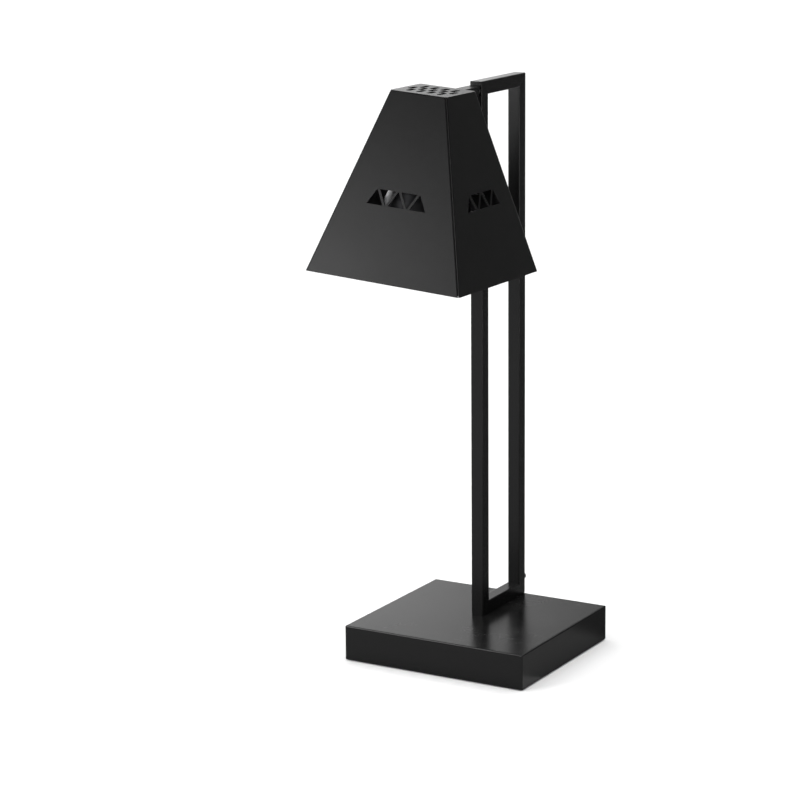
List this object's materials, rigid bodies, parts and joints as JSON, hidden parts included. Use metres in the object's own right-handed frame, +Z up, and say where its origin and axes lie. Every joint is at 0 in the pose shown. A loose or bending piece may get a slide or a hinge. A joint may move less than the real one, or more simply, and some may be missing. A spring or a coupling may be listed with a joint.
{
  "type": "food heat lamp",
  "caption": "Table-top food heat lamp: weighted box base, square-tube loop frame, and a folded pyramid shade on a swivelling arm over a screw-in reflector bulb.",
  "frame": {"origin": "centre of the base's footprint, on the table, at the middle of the non-slip pad's underside", "axes": "+X to the lamp's right seen from the front, +Y to the back, +Z up; the shade hangs over the front, towards -Y"},
  "size_m": [0.242, 0.3197, 0.6992],
  "materials": {
    "black_coat": "satin black powder coat on steel",
    "dark_steel": "mill-finish steel plate",
    "zinc_steel": "zinc plated",
    "black_rubber": "matt rubber",
    "black_plastic": "moulded nylon",
    "lead_sheath": "heat-proof silicone sheath",
    "fibre": "black vulcanised fibre",
    "porcelain": "glazed porcelain",
    "brass": "plain brass",
    "silvered_glass": "pressed glass with a silvered back",
    "lens_glass": "stippled pressed glass",
    "black_glass": "black glass insulator"
  },
  "bodies": {
    "stand": {"base_shell": "black_coat", "ballast_plate": "dark_steel", "bottom_plate": "dark_steel", "plate_spacers": "zinc_steel", "plate_screws": "zinc_steel", "base_pad": "black_rubber", "frame_bolts": "zinc_steel", "frame_washers": "zinc_steel", "rivet_nuts": "zinc_steel", "front_upright": "black_coat", "rear_upright": "black_coat", "top_bar": "black_coat", "bottom_bar": "black_coat", "cable_gland": "black_plastic", "gland_nut": "black_plastic", "stand_lead": "lead_sheath", "swivel_spigot": "zinc_steel", "friction_washer": "fibre", "spring_washer": "zinc_steel", "swivel_nut": "zinc_steel"},
    "head": {"hanger_arm": "black_coat", "arm_rivets": "black_coat", "lead_sleeve": "black_rubber", "shade_front": "black_coat", "shade_right": "black_coat", "shade_rear": "black_coat", "shade_left": "black_coat", "shade_cap": "black_coat", "holder_bracket": "zinc_steel", "holder_body": "porcelain", "holder_shell": "brass", "holder_contact": "brass", "holder_screws": "zinc_steel", "head_lead": "lead_sheath"},
    "bulb_tip": {"bulb_contact": "zinc_steel"},
    "bulb": {"bulb_reflector": "silvered_glass", "bulb_lens": "lens_glass", "bulb_screw_cap": "brass", "bulb_insulator": "black_glass", "bulb_filament": "zinc_steel"}
  },
  "joints": [
    {"name": "shade_swivel", "type": "hinge", "parent": "stand", "child": "head", "pos_m": [0, 0, 0.685], "axis": [0, 1, 0], "range_deg": [-34.2, 25.8]},
    {"name": "bulb_drop", "type": "slide", "parent": "head", "child": "bulb_tip", "axis": [-0.0732, 0, -0.9973], "range_m": [0, 0.01452]},
    {"name": "bulb_turn", "type": "hinge", "parent": "bulb_tip", "child": "bulb", "pos_m": [0, -0.102, 0.685], "axis": [-0.0732, 0, -0.9973], "range_deg": [0, 1440]}
  ],
  "couplings": [
    {"joint": "bulb_drop", "follows": "bulb_turn", "m_per_rad": 0.00057757}
  ]
}
